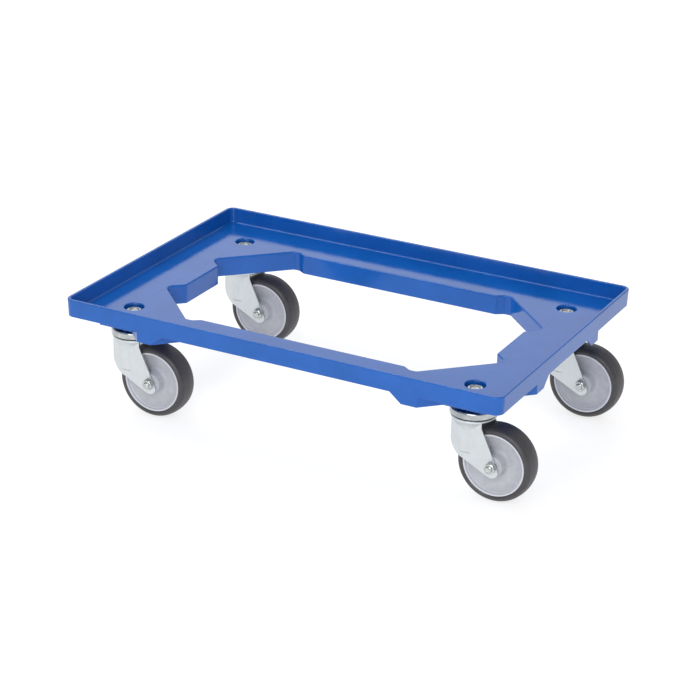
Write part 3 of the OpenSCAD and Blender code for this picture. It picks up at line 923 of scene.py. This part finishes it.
class DOLLY_OT_castor_heads(bpy.types.Operator):
    """Make the pressed caps and the ball rows of the castors' heads"""

    bl_idname = "dolly.castor_heads"
    bl_label = "Castor heads"

    def execute(self, context):
        settings = context.scene.dolly_castors
        sheet = sheet_finish(settings)
        bright = cap_finish()
        steel = ball_finish()
        turned = turned_shape()
        balls = ball_shape()
        guide = 0.020
        radius = CAP_SIZE.x / 2
        plateau = 0.024                 # radius of the flat top
        shoulder = -0.005               # height of the skirt's top under the flat top
        for corner in CORNERS:
            low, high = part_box(f"race_cap_{corner}")
            axis = middle(f"race_cap_{corner}")
            depth = high.z - low.z
            section = rounded_loop([
                (0.008, 0, 0.0), (plateau, 0, 0.0011),
                (plateau + 0.0009, shoulder + 0.0002, 0.0011),
                (radius - 0.0012, shoulder - 0.0008, 0.0022), (radius, shoulder - 0.0030, 0.0020),
                (radius, -depth, 0.0006), (radius - 0.0024, -depth, 0.0004),
                (radius - 0.0024, shoulder - 0.0036, 0.0010),
                (plateau + 0.0004, shoulder - 0.0024, 0.0012), (plateau - 0.0006, -0.003, 0.0006),
                (guide + 0.00175, -0.003, 0), (guide + 0.00115, -0.00268, 0), (guide, -0.0025, 0),
                (guide - 0.00115, -0.00268, 0), (guide - 0.00175, -0.003, 0), (0.008, -0.003, 0.0)])
            cap = turned.make(f"castor_cap_{corner}", loop_mesh("cap_section", section, guide), **{
                "Guide Radius": guide, "Steps": settings.turn_steps,
                "Place": (axis.x, axis.y, high.z), "Finish": bright})
            split_sharp(cap, 40)
            check_size(cap, f"race_cap_{corner}")
            mounted(cap, "deck_frame", "zinc_steel", f"race_cap_{corner}")

            upper = middle(f"upper_balls_{corner}").z
            lower = middle(f"lower_balls_{corner}").z
            rows = balls.make(f"bearing_balls_{corner}", bpy.data.meshes.new("balls"), **{
                "Place": (axis.x, axis.y, 0.0),
                "Upper Ball": settings.upper_ball, "Upper Radius": settings.upper_pitch,
                "Upper Height": upper, "Upper Count": UPPER_BALLS,
                "Lower Ball": settings.lower_ball, "Lower Radius": settings.lower_pitch,
                "Lower Height": lower, "Lower Count": LOWER_BALLS, "Finish": steel})
            mounted(rows, "deck_frame", "ball_steel",
                    f"upper_balls_{corner}", f"lower_balls_{corner}")
            refinished(f"race_stem_{corner}", sheet)
        return {"FINISHED"}


class DOLLY_OT_forks(bpy.types.Operator):
    """Round the edges of the castors' pressed forks"""

    bl_idname = "dolly.forks"
    bl_label = "Forks"

    def execute(self, context):
        settings = context.scene.dolly_castors
        material = bpy.data.materials["plated_sheet"]

        def width(edge):
            thin = min(face.calc_area() / max(side.calc_length() for side in face.edges)
                       for face in edge.link_faces)
            return min(settings.sheet_round, 0.45 * thin)

        for corner in CORNERS:
            swivel, axle = middle(f"race_stem_{corner}"), middle(f"axle_sleeve_{corner}")
            cuts = [(swivel, (1, 0, 0)), (swivel, (0, 1, 0)), (axle, (0, 0, 1))]
            piece = rounded_copy(f"fork_{corner}", f"fork_pressing_{corner}", material,
                                 settings.sheet_round, cuts, width)
            check_size(piece, f"fork_{corner}")
            mounted(piece, f"swivel_{corner}", "zinc_steel", f"fork_{corner}")
        return {"FINISHED"}


ALONG_AXLE = Matrix.Rotation(math.radians(90), 4, "X")      # carries +Z to -Y


class DOLLY_OT_axles(bpy.types.Operator):
    """Make the axle bolts and nuts, and finish the sleeves"""

    bl_idname = "dolly.axles"
    bl_label = "Axles"

    def execute(self, context):
        settings = context.scene.dolly_fasteners
        material = bpy.data.materials["bright_fastener"]
        steel = bpy.data.materials["polished_steel"]
        head, threaded = 0.0053, 0.012      # height of the head, length of the thread
        for corner in CORNERS:
            axle = middle(f"axle_sleeve_{corner}")
            low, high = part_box(f"axle_bolt_{corner}")
            bolt = new_object(f"axle_screw_{corner}", bolt_mesh(
                "axle_screw", settings.axle_flats, head, settings.axle_radius,
                high.y - low.y - head, threaded, settings.thread_pitch, settings.thread_depth))
            bolt.data.transform(Matrix.Translation((axle.x, high.y - head, axle.z)) @ ALONG_AXLE)
            nut_low, nut_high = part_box(f"axle_nut_{corner}")
            nut = new_object(f"axle_lock_nut_{corner}", nut_mesh(
                "axle_lock_nut", settings.axle_flats, nut_high.y - nut_low.y,
                settings.axle_radius))
            nut.data.transform(Matrix.Translation((axle.x, nut_high.y, axle.z)) @ ALONG_AXLE)
            for piece, node in ((bolt, f"axle_bolt_{corner}"), (nut, f"axle_nut_{corner}")):
                piece.data.materials.append(material)
                split_sharp(piece)
                check_size(piece, node)
                mounted(piece, f"swivel_{corner}", "zinc_fastener", node)
            refinished(f"axle_sleeve_{corner}", steel)
        return {"FINISHED"}


class DOLLY_OT_wheels(bpy.types.Operator):
    """Turn the wheel centres and their tyres"""

    bl_idname = "dolly.wheels"
    bl_label = "Wheels"

    def execute(self, context):
        settings = context.scene.dolly_wheels
        steps = context.scene.dolly_castors.turn_steps
        materials = {"centre": wheel_finish(settings), "tyre": tyre_finish(settings)}
        turned = turned_shape()
        rim = settings.diameter / 2 - settings.tyre_depth
        sections = {"centre": self.centre_section(settings, rim),
                    "tyre": self.tyre_section(settings, rim)}
        names = {"centre": ("wheel_disc", "wheel_centre", "wheel_plastic"),
                 "tyre": ("tyre_ring", "tyre", "tyre_rubber")}
        for corner in CORNERS:
            axle = middle(f"axle_sleeve_{corner}")
            for part, section in sections.items():
                name, node, slot = names[part]
                piece = turned.make(
                    f"{name}_{corner}", loop_mesh(f"{part}_section", section, rim), **{
                        "Guide Radius": rim, "Steps": steps,
                        "Turn": (math.radians(90), 0, 0), "Place": tuple(axle),
                        "Finish": materials[part]})
                split_sharp(piece, 50)
                check_size(piece, f"{node}_{corner}")
                mounted(piece, f"wheel_{corner}", slot, f"{node}_{corner}")
        return {"FINISHED"}

    def centre_section(self, settings, rim):
        """Section of the wheel centre: bore, hub, dished disc, rim lip and the tyre's key."""
        hub = settings.hub_width / 2
        half = settings.width / 2 - 0.001
        floor = half - settings.recess
        lip_in = rim - settings.lip
        return rounded_loop(mirrored_section([
            (0.00658, hub, 0.0004), (settings.hub_radius, hub, 0.0010),
            (settings.hub_radius + 0.0020, half - 0.006, 0.0020),
            (settings.hub_radius + 0.0045, floor, 0.0040),
            (lip_in - 0.0090, floor + 0.0020, 0.0150), (lip_in - 0.0025, floor + 0.0045, 0.0040),
            (lip_in - 0.0005, half - 0.003, 0.0010),
            (lip_in, half, 0.0010), (rim, half, 0.0006),
            (rim, 0.0055, 0), (rim + 0.0015, 0.004, 0)]))

    def tyre_section(self, settings, rim):
        """Section of the tyre: bead, side wall, round shoulder and crowned tread."""
        radius = settings.diameter / 2
        half = settings.width / 2
        base = radius - settings.tread_crown
        side = base - rim - 0.0018
        outer = [(rim, half - 0.001, 0), (rim + 0.0006, half - 0.0006, 0),
                 (rim + 0.0018, half, 0.0006)]
        for degrees in range(84, 0, -7):
            angle = math.radians(degrees)
            outer.append((base - side * (1 - math.cos(angle)),
                          half - settings.shoulder * (1 - math.sin(angle)), 0))
        flat = half - settings.shoulder
        for step in range(6):
            t = step / 5
            outer.append((radius - settings.tread_crown * (1 - t) ** 2, flat * (1 - t), 0))
        inner = [(rim + 0.0015, 0.004, 0), (rim, 0.0055, 0)]
        lower = [(x, -y, r) for x, y, r in reversed(outer) if y > 1e-6]
        return rounded_loop(outer + lower + [(x, -y, r) for x, y, r in reversed(inner)] + inner)


# ---------------------------------------------------------------- stage


def camera_matrix(settings):
    """Place and turn of the camera, from its angles round the middle of the rim."""
    azimuth, elevation = settings.azimuth, settings.elevation
    back = Vector((math.sin(azimuth) * math.cos(elevation),
                   -math.cos(azimuth) * math.cos(elevation), math.sin(elevation)))
    right = Vector((0, 0, 1)).cross(back).normalized()
    up = back.cross(right)
    cos, sin = math.cos(settings.roll), math.sin(settings.roll)
    right, up = cos * right + sin * up, cos * up - sin * right
    aim_x, aim_y = 0.0022, 0.0753
    target = Vector((0, 0, CAD_BOX[1].z))
    place = target - right * aim_x - up * aim_y + back * settings.distance
    turn = Matrix((right, up, back)).transposed().to_4x4()
    return Matrix.Translation(place) @ turn


class DOLLY_OT_stage(bpy.types.Operator):
    """Make the floor, the lights, the white surroundings and the camera"""

    bl_idname = "dolly.stage"
    bl_label = "Stage"

    def execute(self, context):
        settings = context.scene.dolly_stage
        scene = context.scene
        scene.view_settings.view_transform = "Standard"

        half = 16.0
        mesh = bpy.data.meshes.new("studio_floor")
        corners = [(-half, -half, 0), (half, -half, 0), (half, half, 0), (-half, half, 0)]
        mesh.from_pydata(corners, [], [(0, 1, 2, 3)])
        floor = new_object("studio_floor", mesh)
        finish = Finish("pale_floor")
        mesh.materials.append(finish.surface(
            base_color=(*settings.floor_tone, 1),
            roughness=0.75 + 0.1 * finish.noise(3, detail=2),
            emission_color=(1, 1, 1, 1), emission_strength=settings.floor_glow))

        world = bpy.data.worlds.new("white_surroundings")
        world.use_nodes = True
        world.node_tree.nodes["Background"].inputs["Color"].default_value = (1, 1, 1, 1)
        world.node_tree.nodes["Background"].inputs["Strength"].default_value = settings.sky
        scene.world = world

        boxes = {"soft_box_front": ((0.8, -2.8, 1.5), (2.0, 2.0), settings.key),
                 "soft_box_over": ((-1.2, 0.1, 2.8), (1.1, 1.3), settings.over),
                 "soft_box_behind": ((-1.7, 3.2, 1.75), (4.4, 2.2), settings.behind)}
        for name, (place, (width, height), power) in boxes.items():
            light = bpy.data.lights.new(name, "AREA")
            light.shape = "RECTANGLE"
            light.size = width
            light.size_y = height
            light.energy = power
            lamp = new_object(name, light)
            lamp.visible_camera = False
            lamp.matrix_world = (Matrix.Translation(place)
                                 @ Vector(place).to_track_quat("Z", "Y").to_matrix().to_4x4())

        camera = bpy.data.cameras.new("camera")
        camera.lens = settings.lens
        camera.sensor_width = 36
        camera.clip_end = 100
        viewpoint = new_object("camera", camera)
        viewpoint.matrix_world = camera_matrix(settings)
        scene.camera = viewpoint
        return {"FINISHED"}


class DOLLY_PT_panel(bpy.types.Panel):
    """Settings and pieces of the dolly"""

    bl_idname = "DOLLY_PT_panel"
    bl_label = "Container Dolly"
    bl_space_type = "VIEW_3D"
    bl_region_type = "UI"
    bl_category = "Dolly"

    def draw(self, context):
        for name, group in SETTINGS.items():
            box = self.layout.box()
            settings = getattr(context.scene, name)
            for key in group.__annotations__:
                box.prop(settings, key)
        for operator in OPERATORS:
            self.layout.operator(operator.bl_idname)


OPERATORS = (DOLLY_OT_deck, DOLLY_OT_castor_heads, DOLLY_OT_forks, DOLLY_OT_fixings,
             DOLLY_OT_axles, DOLLY_OT_wheels, DOLLY_OT_stage)


def register():
    for group in (*SETTINGS.values(), *OPERATORS, DOLLY_PT_panel):
        bpy.utils.register_class(group)
    for name, group in SETTINGS.items():
        setattr(bpy.types.Scene, name, PointerProperty(type=group))


def unregister():
    for name in SETTINGS:
        delattr(bpy.types.Scene, name)
    for group in (DOLLY_PT_panel, *reversed(OPERATORS), *SETTINGS.values()):
        bpy.utils.unregister_class(group)


def main():
    """Builds every piece and the stage."""
    register()
    bpy.ops.dolly.deck()
    bpy.ops.dolly.castor_heads()
    bpy.ops.dolly.forks()
    bpy.ops.dolly.fixings()
    bpy.ops.dolly.axles()
    bpy.ops.dolly.wheels()
    bpy.ops.dolly.stage()


if __name__ == "__main__":
    main()
